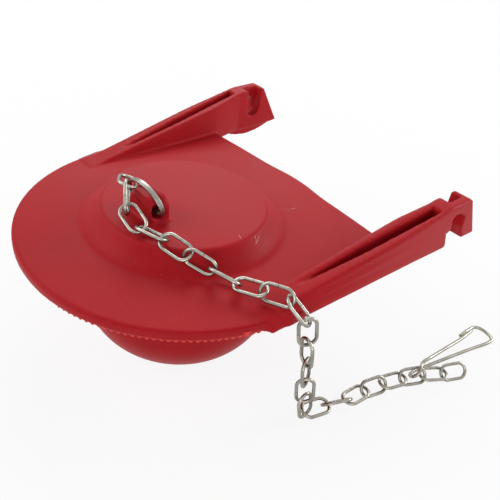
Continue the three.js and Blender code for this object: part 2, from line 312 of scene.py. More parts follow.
def web_field():
    corner_y = BACK_EDGE_MIDDLE - BACK_EDGE_BOW
    bow = [(WEB_HALF_WIDTH * (1 - 2 * t), corner_y + 4 * BACK_EDGE_BOW * t * (1 - t))
           for t in np.linspace(0, 1, 25)]
    sides = [(-WEB_HALF_WIDTH, 0), (WEB_HALF_WIDTH, 0)]
    plan = outline_distance(sides + bow, X[:, :, 0], Y[:, :, 0])[:, :, None]
    under_dome = DOME_RADIUS - np.hypot(X, Y)
    return np.maximum(keep(plan, between(Z, 0, FLANGE_HEIGHT), WEB_EDGE), under_dome)


web = web_field()
print("web: back edge at y =", BACK_EDGE_MIDDLE, "mm")

# %% Arms
ARM_START, ARM_END = -8, 52.5
ARM_TOP, ARM_TOP_SLOPE = 4.35, 0.18
ARM_OUTER, ARM_OUTER_FLARE = 41.5, 0.11
ARM_INNER, ARM_INNER_FLARE = 35.7, 0.06
ARM_DRAFT = 1.2
ARM_FOOT = 1.4
ARM_EDGE, ARM_FOOT_EDGE, ARM_CREST_EDGE = 0.6, 0.4, 0.7
FLUTE_DEPTH, FLUTE_FADE = 0.22, 12
EAR_OUTER = 46.3
BLEND_START, BLEND_LENGTH, BLEND_SHIFT = 40, 12, 1.08


def arm_top(y):
    return ARM_TOP + ARM_TOP_SLOPE * y


def outer_wall():
    """The arm's outer side: upright at its foot, then leaning, with two shallow flutes along it."""
    top = np.maximum(FLANGE_HEIGHT, arm_top(Y))
    outer = np.minimum(ARM_OUTER + ARM_OUTER_FLARE * Y, EAR_OUTER)
    edge = flange_edge(Y)
    run, rise = outer - edge, top - ARM_FOOT
    slant = ((X - edge) * rise - (Z - ARM_FOOT) * run) / np.hypot(run, rise)
    share = np.clip((Z - ARM_FOOT) / rise, 0, 1)
    fade = np.clip(Y / FLUTE_FADE, 0, 1) * np.clip((ARM_END - Y) / FLUTE_FADE, 0, 1)
    flutes = FLUTE_DEPTH * fade * np.sin(np.pi * share) * (1 - np.cos(4 * np.pi * share)) / 2
    return keep(X - edge, slant + flutes, ARM_FOOT_EDGE)


def arm_field():
    """The bar between its two sides. Its inner side runs flush into the ear's."""
    top = np.maximum(FLANGE_HEIGHT, arm_top(Y))
    to_ear = np.clip((Y - BLEND_START) / BLEND_LENGTH, 0, 1)
    draft = ARM_DRAFT * (1 - np.clip(Z / top, 0, 1)) * (1 - to_ear)
    inner = ARM_INNER + ARM_INNER_FLARE * Y - draft + BLEND_SHIFT * to_ear
    section = keep(keep(inner - X, outer_wall(), ARM_CREST_EDGE), between(Z, 0, top), ARM_EDGE)
    return keep(section, between(Y, ARM_START, ARM_END), ARM_EDGE)


arm = arm_field()
print("arm top at its far end:", round(arm_top(ARM_END), 2), "mm above the sealing face")

# %% Slots
SLOT_START, SLOT_FULL, SLOT_END = 5, 24, 50.5
SLOT_OUTER, SLOT_OUTER_FLARE = 38.8, 0.11
SLOT_INNER, SLOT_INNER_FLARE = 36.8, 0.1
SLOT_TIP_WIDTH, SLOT_TIP_DEPTH = 0.5, 0.2
SLOT_FLOOR = 2


def slot_field():
    """The slot grows in width and depth from its tip on the web to its full size."""
    grown = np.clip((Y - SLOT_START) / (SLOT_FULL - SLOT_START), 0, 1)
    outer = SLOT_OUTER + SLOT_OUTER_FLARE * Y
    inner = SLOT_INNER + SLOT_INNER_FLARE * Y
    half = (SLOT_TIP_WIDTH + (outer - inner - SLOT_TIP_WIDTH) * grown) / 2
    tip_floor = arm_top(Y) - SLOT_TIP_DEPTH
    depth = tip_floor + (SLOT_FLOOR - tip_floor) * grown
    walls = np.maximum(np.abs(X - (outer + inner) / 2) - half, depth - Z)
    return np.maximum(walls, between(Y, SLOT_START, SLOT_END))


slot = slot_field()
print("slot:", SLOT_END - SLOT_START, "mm long")

# %% [markdown]
# ### The peg ears
#
# Each arm ends in an ear that snaps on a peg of the overflow pipe. The inner part of its thickness is
# open at the top and the outer part is open at the bottom, so a peg can be pressed in from the side
# and is then held all round. Each part is a side outline, pushed through its share of the thickness.
# A notch behind the arm's end frees the outer part, so that it can bend. Soft rubber never lies quite
# true: on this one the right ear's lower seat stands open wider than the left one's.

# %% Ears
EAR_START, EAR_TOP = 44.5, 14
EAR_INNER, EAR_MIDDLE = 39.9, 43.1
EAR_SIDE = [
    (EAR_START, 0), (62, 0), (71, 0.6), (62.9, EAR_TOP), (53.5, EAR_TOP), (EAR_START, arm_top(EAR_START))]
EAR_SIDE_EDGE, EAR_EDGE, BELLY_EDGE, BELLY_FILLET = 0.4, 0.45, 0.5, 0.6
BELLY_START, BELLY_LENGTH, BELLY_DEPTH = 45.2, 24, 3.1
BELLY_TOP, BELLY_INSET = 0.5, 0.8
PEG_Y, PEG_Z = 58.5, 7.6
SEAT_HALF_HEIGHT, SEAT_EDGE = 3.1, 0.25
INNER_SEAT, LEFT_OUTER_SEAT = 2.75, 2.3
SEAT_STRAIGHT, SEAT_REACH = 4, 16
FLARE_FAR, FLARE_NEAR = 1.2, 0.8
RIGHT_OUTER_FROM = 41.6
RIGHT_SEAT = [(57.3, -9), (56.9, 6), (55.5, 9.6), (56.6, 10.9), (59.4, 10.7), (61.8, 8.9), (62.3, 5),
              (64.2, 0.9), (65, -9)]
HEEL_EDGE = 0.4
HEEL = [(54.8, 6.2), (56.9, 1), (57.5, -5)]
LEFT_HEEL = HEEL + [(59.2, -5), (59.2, 6.2)]
RIGHT_HEEL = HEEL + [(75, -5), (71, 0.4), (64.2, 0.9), (62.2, 5), (59.2, 6.2)]


def side_distance(points):
    """Distance to an outline drawn on the ear's side, as y and z."""
    return outline_distance(points, Y[0], Z[0])[None]


def peg_seat(opens_up, half_width):
    """An arch that flares towards its open side, so that the peg slips in."""
    way = 1 if opens_up else -1
    arc = [(PEG_Y - half_width * math.cos(a), PEG_Z - way * SEAT_HALF_HEIGHT * math.sin(a))
           for a in np.linspace(0, math.pi, 25)]
    near, far = arc[0][0], arc[-1][0]
    return side_distance(arc + [
        (far, PEG_Z + way * SEAT_STRAIGHT), (far + FLARE_FAR, PEG_Z + way * SEAT_REACH),
        (near - FLARE_NEAR, PEG_Z + way * SEAT_REACH), (near, PEG_Z + way * SEAT_STRAIGHT)])


def ear_field(outer_seat, heel, outer_from):
    """One ear. Its outer part, from outer_from on, has the seat that opens downwards and the notch."""
    sides = keep(EAR_INNER - X, keep(X - EAR_OUTER, outer_wall(), EAR_SIDE_EDGE), EAR_SIDE_EDGE)
    block = keep(side_distance(EAR_SIDE), sides, EAR_EDGE)
    belly_curve = [(BELLY_START + BELLY_LENGTH * t, BELLY_TOP - 4 * BELLY_DEPTH * t * (1 - t))
                   for t in np.linspace(0, 1, 25)]
    belly = keep(side_distance(belly_curve), between(X, EAR_INNER + BELLY_INSET, outer_from), BELLY_EDGE)
    ear = join(block, belly, BELLY_FILLET)
    ear = cut(ear, np.maximum(peg_seat(True, INNER_SEAT), X - EAR_MIDDLE), SEAT_EDGE)
    ear = cut(ear, np.maximum(outer_seat, outer_from - X), SEAT_EDGE)
    return cut(ear, np.maximum(side_distance(heel), outer_from - X), HEEL_EDGE)


left_ear = ear_field(peg_seat(False, LEFT_OUTER_SEAT), LEFT_HEEL, EAR_MIDDLE)
right_ear = ear_field(side_distance(RIGHT_SEAT), RIGHT_HEEL, RIGHT_OUTER_FROM)
print("peg seat:", 2 * INNER_SEAT, "mm wide")

# %% [markdown]
# ### The eye lug
#
# A squarish block with an arched nose stands on the dome, with a hole across it for the ring.

# %% Lug
LUG_MIDDLE_Y = -11.9
LUG_FOOT = 7
LUG_HALF_WIDTH, LUG_TOP, LUG_CORNER = 5.8, 15.3, 3.6
LUG_FRONT, LUG_BACK = -11.2, -8.8
LUG_EDGE = 0.9
NOSE_HALF_WIDTH = 5.6
NOSE_SHOULDER = ((5.4, 10.05), (4.7, 12.9), (3.4, 14.7), (0, 14.7))
NOSE_FRONT, NOSE_BACK = -14.3, -10.7
NOSE_FILLET = 0.5
LUG_HOLE_Z = DOME_TOP + 2.7
LUG_HOLE_RADIUS, LUG_HOLE_EDGE = 1.6, 0.3


def both_sides(half_width, right_side):
    """A closed outline from its foot and its right side, with the left side as its mirror image."""
    left_side = [(-u, v) for u, v in right_side[::-1]]
    return [(-half_width, LUG_FOOT), (half_width, LUG_FOOT)] + right_side + left_side


def bezier(a, b, c, d, count=20):
    t = np.linspace(0, 1, count)[:, None]
    a, b, c, d = (np.array(p) for p in (a, b, c, d))
    points = (1 - t) ** 3 * a + 3 * (1 - t) ** 2 * t * b + 3 * (1 - t) * t ** 2 * c + t ** 3 * d
    return [tuple(p) for p in points]


def arch(points, low_y, high_y):
    front = outline_distance(points, X[:, :, 0], Z[0])
    return keep(front[:, None, :], between(Y, low_y, high_y), LUG_EDGE)


def lug_field():
    corner_x, corner_z = LUG_HALF_WIDTH - LUG_CORNER, LUG_TOP - LUG_CORNER
    corner = [(corner_x + LUG_CORNER * math.cos(a), corner_z + LUG_CORNER * math.sin(a))
              for a in np.linspace(0, np.pi / 2, 12)]
    rear = arch(both_sides(LUG_HALF_WIDTH, corner), LUG_FRONT, LUG_BACK)
    nose = arch(both_sides(NOSE_HALF_WIDTH, bezier(*NOSE_SHOULDER)), NOSE_FRONT, NOSE_BACK)
    hole = np.hypot(Y - LUG_MIDDLE_Y, Z - LUG_HOLE_Z) - LUG_HOLE_RADIUS
    return cut(join(rear, nose, NOSE_FILLET), hole, LUG_HOLE_EDGE)


lug = lug_field()
print("lug hole:", 2 * LUG_HOLE_RADIUS, "mm across")

# %% [markdown]
# ### Joining the moulding
#
# The pieces are joined with the radii that a mould has, and the slots are cut last. The left half is
# the mirror image of the right one, apart from its ear.

# %% Whole field
SIDE_FLANGE = [(29.7, -7), (42, -7), (44, -2), (44, 2), (29.7, 2)]
SIDE_FLANGE_HEIGHT, SIDE_FLANGE_EDGE = 2.7, 0.4
WEB_FILLET, ARM_FILLET, LUG_FILLET = 0.5, 0.9, 1.0
SLOT_EDGE = 0.4

side_plan = outline_distance(SIDE_FLANGE, X[:, :, 0], Y[:, :, 0])[:, :, None]
side_flange = keep(side_plan, between(Z, 0, SIDE_FLANGE_HEIGHT), SIDE_FLANGE_EDGE)
moulding = join(join(shell, web, WEB_FILLET), side_flange, WEB_FILLET)
moulding = join(moulding, arm, ARM_FILLET)


def with_ear(ear):
    return join(cut(np.minimum(moulding, ear), slot, SLOT_EDGE), lug, LUG_FILLET)


field = np.concatenate([with_ear(left_ear)[:0:-1], with_ear(right_ear)]).astype(np.float32)
print("whole grid:", field.shape)

# %% [markdown]
# ### Drawing the skin
#
# One vertex goes into every grid cell that the skin crosses, at the mean of the crossings on the
# cell's edges, and every grid edge that crosses the skin gives one face between its four cells. Three
# steps along the field's slope then carry the vertices right onto the skin, so that no stairs are
# left.

# %% Skin of a field
PULL_ROUNDS, PULL_SHARE, LONGEST_PULL = 3, 0.9, 0.5
LEAST_SLOPE = 0.01


def cell_corners(values):
    """Eight views of the field, one for each corner of its cells."""
    n = [s - 1 for s in values.shape]
    return {(i, j, k): values[i:i + n[0], j:j + n[1], k:k + n[2]] for i, j, k in np.ndindex(2, 2, 2)}


def skin_vertices(values):
    """The cells that the skin crosses, and a point in each at the mean of the crossings."""
    corners = cell_corners(values)
    inside = sum((c < 0).astype(np.int8) for c in corners.values())
    cells = np.argwhere((inside > 0) & (inside < 8))
    total = np.zeros((len(cells), 3))
    count = np.zeros(len(cells))
    at = tuple(cells.T)
    for start, low in corners.items():
        for axis in range(3):
            if start[axis]:
                continue
            end = tuple(1 if a == axis else s for a, s in enumerate(start))
            a, b = low[at], corners[end][at]
            crossed = (a < 0) != (b < 0)
            share = np.where(crossed, a / np.where(crossed, a - b, 1), 0)
            point = np.array(start, dtype=float) + np.outer(share, np.eye(3)[axis])
            total += np.where(crossed[:, None], point, 0)
            count += crossed
    return cells, cells + total / count[:, None]


def skin_faces(values, cells):
    """One face between the four cells round each grid edge that crosses the skin."""
    number = np.full(values.shape, -1, dtype=np.int32)
    number[tuple(cells.T)] = np.arange(len(cells))
    faces = []
    for axis in range(3):
        b, c = (axis + 1) % 3, (axis + 2) % 3
        low = np.take(values, range(values.shape[axis] - 1), axis=axis) < 0
        high = np.take(values, range(1, values.shape[axis]), axis=axis) < 0
        edges = np.argwhere(low != high)
        edges = edges[(edges[:, b] > 0) & (edges[:, c] > 0)]
        ring = []
        for db, dc in ((1, 1), (0, 1), (0, 0), (1, 0)):
            cell = edges.copy()
            cell[:, b] -= db
            cell[:, c] -= dc
            ring.append(number[tuple(cell.T)])
        quads = np.stack(ring, axis=1)
        flip = ~low[tuple(edges.T)]
        quads[flip] = quads[flip][:, ::-1]
        faces.append(quads)
    return np.concatenate(faces)


def pull_to_skin(values, points):
    """Carry the points along the field's slope to where the field is zero."""
    slopes = np.gradient(values)
    for _ in range(PULL_ROUNDS):
        base = np.clip(points.astype(int), 0, np.array(values.shape) - 2)
        share = points - base
        sums = np.zeros((4, len(points)))
        for corner in np.ndindex(2, 2, 2):
            weight = np.prod(np.where(corner, share, 1 - share), axis=1)
            at = tuple((base + corner).T)
            for row, table in enumerate((values, *slopes)):
                sums[row] += weight * table[at]
        steep = np.maximum((sums[1:] ** 2).sum(axis=0), LEAST_SLOPE)
        move = np.clip(-sums[0] / steep * sums[1:], -LONGEST_PULL, LONGEST_PULL)
        points = points + PULL_SHARE * move.T
    return points


cells, points = skin_vertices(field)
faces = skin_faces(field, cells)
points = pull_to_skin(field, points)
skin_points = np.array(GRID_LOW) + GRID_STEP * points
print("skin:", len(skin_points), "points,", len(faces), "faces")

# %% [markdown]
# The flat stretches have far more faces than they need, so a collapse takes the mesh under 200,000
# triangles. It spends its faces where the surface bends.

# %% Body mesh
BODY_TRIANGLES = 190000


def plain_mesh(name, points, faces, smooth=True):
    mesh = bpy.data.meshes.new(name)
    mesh.from_pydata([tuple(p) for p in points], [], [tuple(int(i) for i in f) for f in faces])
    mesh.validate()
    if smooth:
        mesh.shade_smooth()
    made = bpy.data.objects.new(name, mesh)
    scene.collection.objects.link(made)
    return made


def bake_modifiers(made):
    """The object's evaluated shape as a plain mesh, with its modifiers gone."""
    bpy.context.view_layer.update()
    depsgraph = bpy.context.evaluated_depsgraph_get()
    mesh = bpy.data.meshes.new_from_object(made.evaluated_get(depsgraph))
    made.modifiers.clear()
    made.data = mesh
    return made


body = plain_mesh("rubber_body", to_model(skin_points), faces)
thin = body.modifiers.new("thin", "DECIMATE")
thin.ratio = min(1.0, BODY_TRIANGLES / (2 * len(faces)))
bake_modifiers(body)
body.data.shade_smooth()
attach(body, "root")
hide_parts("flapper_body")
print("rubber body:", len(body.data.polygons), "faces")

# %% [markdown]
# ### Flash along the rim
#
# Where the two halves of the mould meet, a thin fringe of rubber is left. On this one it hangs from
# the lower edge of the rim as a row of tiny saw teeth along the front. It is the same tooth again and
# again along an arc, which is what Geometry Nodes do well: a curve, points at a set spacing, and one
# instance on each.

# %% Node helpers for meshes


def new_tree(name, kind, inputs, outputs):
    """An empty node tree with the named inputs and outputs."""
    tree = bpy.data.node_groups.new(name, kind)
    for label, socket_type, value in inputs:
        socket = tree.interface.new_socket(name=label, in_out="INPUT", socket_type=socket_type)
        if value is not None:
            socket.default_value = value
    for label, socket_type in outputs:
        tree.interface.new_socket(name=label, in_out="OUTPUT", socket_type=socket_type)
    return tree, tree.nodes.new("NodeGroupInput"), tree.nodes.new("NodeGroupOutput")


def geometry_tree(name, inputs):
    return new_tree(name, "GeometryNodeTree", inputs, [("Geometry", "NodeSocketGeometry")])


def add(tree, kind, links=None, **settings):
    """One node, its settings, and what feeds each of its sockets (by name or number)."""
    node = tree.nodes.new(kind)
    for key, value in settings.items():
        setattr(node, key, value)
    for socket, source in (links or {}).items():
        target = node.inputs[socket]
        if isinstance(source, bpy.types.NodeSocket):
            tree.links.new(source, target)
        else:
            target.default_value = source
    return node


def calculate(tree, operation, *values):
    node = add(tree, "ShaderNodeMath", dict(enumerate(values)), operation=operation)
    return node.outputs[0]


def run_tree(made, tree, values):
    """Put the tree on the object, set its inputs by identifier, and bake the result."""
    modifier = made.modifiers.new(tree.name, "NODES")
    modifier.node_group = tree
    for item in tree.interface.items_tree:
        if item.in_out == "INPUT" and item.name in values:
            modifier[item.identifier] = values[item.name]
    return bake_modifiers(made)


print("node helpers ready on Blender", bpy.app.version_string)

# %% Materials that the trees set
rubber = bpy.data.materials.new("moulded_rubber")
flash = bpy.data.materials.new("thin_flash")
steel = bpy.data.materials.new("dull_steel")
for material in (rubber, flash, steel):
    material.use_nodes = True
body.data.materials.clear()
body.data.materials.append(rubber)
print("materials:", rubber.name, flash.name, steel.name)

# %% Saw-tooth fringe
TOOTH_PITCH = 1.5
TOOTH_SIZE = (0.33, 1.3, 1.0)
FRINGE_START, FRINGE_END = math.radians(-75), math.radians(-11)
FRINGE_RADIUS, FRINGE_Z = 42.75, -0.25
GROWING_TEETH, FIRST_TOOTH = 14, 0.35
TOOTH_UNEVENNESS = 0.35
TORN_TOOTH = 28


def fringe_tree():
    tree, entry, out = geometry_tree("rim_fringe", [
        ("Radius", "NodeSocketFloat", 1.0), ("Start", "NodeSocketFloat", 0.0),
        ("Sweep", "NodeSocketFloat", 1.0), ("Height", "NodeSocketFloat", 0.0),
        ("Pitch", "NodeSocketFloat", 0.001), ("Tooth", "NodeSocketVector", None),
        ("Unevenness", "NodeSocketFloat", 0.3), ("Torn Tooth", "NodeSocketFloat", 0.0),
        ("Seed", "NodeSocketInt", 4), ("Material", "NodeSocketMaterial", None)])
    arc = add(tree, "GeometryNodeCurveArc", {
        "Resolution": 256, "Radius": entry.outputs["Radius"],
        "Start Angle": entry.outputs["Start"], "Sweep Angle": entry.outputs["Sweep"]})
    places = add(tree, "GeometryNodeCurveToPoints", {
        "Curve": arc.outputs["Curve"], "Length": entry.outputs["Pitch"]}, mode="LENGTH")
    tooth = add(tree, "GeometryNodeMeshCone", {
        "Vertices": 4, "Radius Top": 0.9, "Radius Bottom": 0.2, "Depth": 1.0}, fill_type="NGON")
    place = add(tree, "GeometryNodeInputPosition").outputs[0]
    facing = add(tree, "FunctionNodeAlignRotationToVector", {"Vector": place}, axis="X", pivot_axis="Z")
    uneven = add(tree, "FunctionNodeRandomValue", {"Seed": entry.outputs["Seed"]}, data_type="FLOAT")
    least = calculate(tree, "SUBTRACT", 1.0, entry.outputs["Unevenness"])
    tree.links.new(least, uneven.inputs[2])
    uneven.inputs[3].default_value = 1.0
    index = add(tree, "GeometryNodeInputIndex").outputs[0]
    grown = add(tree, "ShaderNodeMapRange", {
        "Value": index, "From Min": 0.0, "From Max": float(GROWING_TEETH),
        "To Min": FIRST_TOOTH, "To Max": 1.0}).outputs[0]
    torn = calculate(tree, "COMPARE", index, entry.outputs["Torn Tooth"], 0.5)
    factor = calculate(tree, "ADD", calculate(tree, "MULTIPLY", uneven.outputs[1], grown), torn)
    size = add(tree, "ShaderNodeVectorMath", {
        0: entry.outputs["Tooth"], 3: factor}, operation="SCALE")
    copies = add(tree, "GeometryNodeInstanceOnPoints", {
        "Points": places.outputs["Points"], "Instance": tooth.outputs["Mesh"],
        "Rotation": facing.outputs[0], "Scale": size.outputs[0]})
    lowered = add(tree, "ShaderNodeCombineXYZ", {"Z": entry.outputs["Height"]})
    real = add(tree, "GeometryNodeRealizeInstances", {"Geometry": copies.outputs["Instances"]})
    moved = add(tree, "GeometryNodeSetPosition", {"Geometry": real.outputs[0], "Offset": lowered.outputs[0]})
    finished = add(tree, "GeometryNodeSetMaterial", {
        "Geometry": moved.outputs["Geometry"], "Material": entry.outputs["Material"]})
    tree.links.new(finished.outputs["Geometry"], out.inputs["Geometry"])
    return tree


fringe = plain_mesh("rim_fringe", [(0, 0, 0)], [])
run_tree(fringe, fringe_tree(), {
    "Radius": FRINGE_RADIUS * MM, "Start": FRINGE_START, "Sweep": FRINGE_END - FRINGE_START,
    "Height": (FRINGE_Z - DOME_TOP) * MM, "Torn Tooth": float(TORN_TOOTH),
    "Pitch": TOOTH_PITCH * MM, "Tooth": [size * MM for size in TOOTH_SIZE],
    "Unevenness": TOOTH_UNEVENNESS, "Seed": 4, "Material": flash})
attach(fringe, "root")
print("fringe:", len(fringe.data.polygons), "faces")

# %% [markdown]
# ## The chain
#
# A lift chain like this is made of wire cut to length and bent round until its ends meet in the
# middle of one side, where a thin seam stays open. All links are the same, so one link is drawn and
# set on 23 places. Each place comes from the points where a link hooks into the next, and from the
# turn of the link about its own length, in degrees.

# %% Links' places
WIRE = 0.9
LINK_LENGTH, LINK_WIDTH = 9.0, 5.2
OVER_BODY = [
    (-7.3, -12.5, 15.1, -18), (-1.4, -16.6, 16.9, 100), (1.8, -18.6, 12.8, 24), (7.3, -18.6, 10.8, -28),
    (14, -16, 10.4, 30), (19.7, -13.9, 9, 84), (25.35, -10.5, 6.8, -40), (30.8, -7.8, 5.6, 8),
    (36.9, -5, 6.3, 70), (42.5, -2.5, 6.9, -6)]
DOWN_SIDE = [
    (46.8, 0, 2.2, -62), (47.4, 0.9, -4.2, 12), (48, 1.5, -10.9, 68), (48.6, 2.3, -17.4, -52),
    (49.2, 3, -23.9, 88)]
ON_FLOOR = [
    (49.6, 4, FLOOR + 2.8, 12),
    (51, 10.4, FLOOR + 2.2, -52), (53.3, 16.4, FLOOR + 2.1, -4), (53.7, 22.8, FLOOR + 2, 48),
    (55.3, 29.1, FLOOR + 2, 0), (57.2, 35.3, FLOOR + 2, 48), (59.9, 41.2, FLOOR + 2, 0),
    (63.2, 46.8, FLOOR + 2, 48), (65.8, 52.8, FLOOR + 2, 0)]
HOOKS = OVER_BODY + DOWN_SIDE + ON_FLOOR


def link_axes(start, end, turn):
    """Along the link, across it, and out of its flat."""
    along = np.subtract(end, start) / np.linalg.norm(np.subtract(end, start))
    up = (0, 1, 0) if abs(along[2]) > 0.9 else (0, 0, 1)
    side = np.cross(up, along)
    side /= np.linalg.norm(side)
    across = math.cos(turn) * side + math.sin(turn) * np.cross(along, side)
    return along, across, np.cross(along, across)


middles, turns = [], []
for here, following in zip(HOOKS, HOOKS[1:]):
    along, across, out = link_axes(here[:3], following[:3], math.radians(here[3]))
    middles.append((np.array(here[:3]) + np.array(following[:3])) / 2)
    turns.append(np.array([along, across, out]).T)
print("links:", len(middles))

# %% [markdown]
# The tree draws one link from its angle round the wire: two half circles pulled apart. The wire's two
# ends stop just short of each other, and their flat ends make the seam. The places come in as points
# that carry their axes.

# %% Chain
LINK_STEPS = 56
WIRE_SIDES = 14
SEAM = 0.12
END_SHARPNESS = 14


def link_tree():
    """A link from its angle round the wire: which_end is 1 on one half circle and -1 on the other."""
    tree, entry, out = geometry_tree("bent_links", [
        ("Geometry", "NodeSocketGeometry", None), ("Length", "NodeSocketFloat", 0.009),
        ("Width", "NodeSocketFloat", 0.0052), ("Wire", "NodeSocketFloat", 0.0009),
        ("Seam", "NodeSocketFloat", 0.0001), ("Material", "NodeSocketMaterial", None)])
    width, length, wire = entry.outputs["Width"], entry.outputs["Length"], entry.outputs["Wire"]
    bend = calculate(tree, "MULTIPLY", calculate(tree, "SUBTRACT", width, wire), 0.5)
    pull = calculate(tree, "MULTIPLY", calculate(tree, "SUBTRACT", length, width), 0.5)
    line = add(tree, "GeometryNodeMeshLine", {"Count": LINK_STEPS + 1})
    path = add(tree, "GeometryNodeMeshToCurve", {"Mesh": line.outputs["Mesh"]})
    index = add(tree, "GeometryNodeInputIndex").outputs[0]
    angle = calculate(tree, "ADD", calculate(tree, "MULTIPLY", index, 2 * math.pi / LINK_STEPS), math.pi / 2)
    cosine = calculate(tree, "COSINE", angle)
    which_end = calculate(tree, "MINIMUM", calculate(tree, "MULTIPLY", cosine, END_SHARPNESS), 1)
    which_end = calculate(tree, "MAXIMUM", which_end, -1)
    pulled = calculate(tree, "MULTIPLY", which_end, pull)
    lengthwise = calculate(tree, "ADD", calculate(tree, "MULTIPLY", cosine, bend), pulled)
    half_seam = calculate(tree, "MULTIPLY", entry.outputs["Seam"], 0.5)
    first = calculate(tree, "LESS_THAN", index, 0.5)
    final = calculate(tree, "GREATER_THAN", index, LINK_STEPS - 0.5)
    opening = calculate(tree, "MULTIPLY", calculate(tree, "SUBTRACT", final, first), half_seam)
    lengthwise = calculate(tree, "ADD", lengthwise, opening)
    widthwise = calculate(tree, "MULTIPLY", calculate(tree, "SINE", angle), bend)
    point = add(tree, "ShaderNodeCombineXYZ", {"X": lengthwise, "Y": widthwise})
    bent = add(tree, "GeometryNodeSetPosition", {"Geometry": path.outputs[0], "Position": point.outputs[0]})
    section = add(tree, "GeometryNodeCurvePrimitiveCircle", {
        "Resolution": WIRE_SIDES, "Radius": calculate(tree, "MULTIPLY", wire, 0.5)})
    tube = add(tree, "GeometryNodeCurveToMesh", {
        "Curve": bent.outputs[0], "Profile Curve": section.outputs[0], "Fill Caps": True})
    smooth = add(tree, "GeometryNodeSetShadeSmooth", {"Geometry": tube.outputs[0]})
    turn = add(tree, "GeometryNodeInputNamedAttribute", {"Name": "turn"}, data_type="QUATERNION")
    copies = add(tree, "GeometryNodeInstanceOnPoints", {
        "Points": entry.outputs["Geometry"], "Instance": smooth.outputs[0],
        "Rotation": turn.outputs[0]})
    number = add(tree, "GeometryNodeInputIndex").outputs[0]
    marked = add(tree, "GeometryNodeStoreNamedAttribute", {
        "Geometry": copies.outputs[0], "Name": "piece_number", "Value": number},
        data_type="FLOAT", domain="INSTANCE")
    real = add(tree, "GeometryNodeRealizeInstances", {"Geometry": marked.outputs[0]})
    finished = add(tree, "GeometryNodeSetMaterial", {
        "Geometry": real.outputs[0], "Material": entry.outputs["Material"]})
    tree.links.new(finished.outputs[0], out.inputs["Geometry"])
    return tree


chain = plain_mesh("lift_chain", to_model(middles), [])
store = chain.data.attributes.new("turn", "QUATERNION", "POINT")
for item, matrix in zip(store.data, turns):
    item.value = mathutils.Matrix(matrix.tolist()).to_quaternion()
run_tree(chain, link_tree(), {
    "Length": LINK_LENGTH * MM, "Width": LINK_WIDTH * MM, "Wire": WIRE * MM, "Seam": SEAM * MM,
    "Material": steel})
print("chain:", len(chain.data.polygons), "faces, attributes:", [a.name for a in chain.data.attributes])

# %% [markdown]
# ## Ring and clip
#
# The ring is a flat strip bent to a D, and the clip is one wire bent back on itself. Both follow a
# path with a constant section, so one sweep makes both: it carries a small outline along the path
# and keeps it square to the path without twisting.

# %% Sweep


def fix_normals(made):
    work = bmesh.new()
    work.from_mesh(made.data)
    bmesh.ops.recalc_face_normals(work, faces=work.faces)
    work.to_mesh(made.data)
    work.free()


def sweep(name, path, section, closed, across=None):
    """A section of (side, out) points carried along a path. A fixed way across keeps a strip flat."""
    path = np.array(path, dtype=float)
    ahead = np.roll(path, -1, axis=0) - np.roll(path, 1, axis=0)
    if not closed:
        ahead[0], ahead[-1] = path[1] - path[0], path[-1] - path[-2]
    ahead /= np.linalg.norm(ahead, axis=1)[:, None]
    side = np.cross(ahead[0], (0, 0, 1.0)) if across is None else np.array(across, dtype=float)
    rows = []
    for place, direction in zip(path, ahead):
        side = side - direction * np.dot(side, direction)
        side /= np.linalg.norm(side)
        out = np.cross(direction, side)
        rows.append([place + u * side + v * out for u, v in section])
        if across is not None:
            side = np.array(across, dtype=float)
    count, size = len(rows), len(section)
    faces = []
    for i in range(count if closed else count - 1):
        a, b = i * size, (i + 1) % count * size
        faces += [(a + j, a + (j + 1) % size, b + (j + 1) % size, b + j) for j in range(size)]
    if not closed:
        faces += [tuple(range(size))[::-1], tuple(range((count - 1) * size, count * size))]
    made = plain_mesh(name, to_model(np.concatenate(rows)), faces)
    fix_normals(made)
    made.data.materials.append(steel)
    return made


def round_section(radius, count=16):
    angles = np.linspace(0, 2 * np.pi, count, endpoint=False)
    return [(radius * math.cos(a), radius * math.sin(a)) for a in angles]


print("round section:", len(round_section(1)), "points")

# %% Lug ring
STRIP_THICKNESS, STRIP_WIDTH = 0.6, 1.3
STRIP_HALF_SPAN, STRIP_RISE = 6.6, 6.4
STRIP_CORNER, STRIP_EDGE = 1.0, 0.14
STRIP_LEAN, STRIP_YAW = math.radians(13), math.radians(4)
STRIP_SLIDE = -0.1


def ring_path():
    """A D in its own plane: the straight side through the lug, two corners and the bow over its top."""
    reach = STRIP_HALF_SPAN - STRIP_CORNER
    points = [(-reach + t * 2 * reach, 0) for t in np.linspace(0, 1, 9)]
    for t in np.linspace(0.15, 1, 6):
        points.append((STRIP_HALF_SPAN - STRIP_CORNER * (1 - t) ** 2, STRIP_CORNER * t * t))
    for a in np.linspace(0, np.pi, 49)[1:-1]:
        rise = STRIP_CORNER + (STRIP_RISE - STRIP_CORNER) * math.sin(a)
        points.append((STRIP_HALF_SPAN * math.cos(a), rise))
    for t in np.linspace(1, 0.15, 6):
        points.append((-STRIP_HALF_SPAN + STRIP_CORNER * (1 - t) ** 2, STRIP_CORNER * t * t))
    return points


def strip_section():
    """The strip's section, with small rounded edges."""
    wide, half = STRIP_WIDTH / 2 - STRIP_EDGE, STRIP_THICKNESS / 2 - STRIP_EDGE
    corners = [(wide, half, 0), (-wide, half, 90), (-wide, -half, 180), (wide, -half, 270)]
    angles = [(x, y, math.radians(start + step)) for x, y, start in corners for step in (0, 30, 60, 90)]
    return [(x + STRIP_EDGE * math.cos(a), y + STRIP_EDGE * math.sin(a)) for x, y, a in angles]


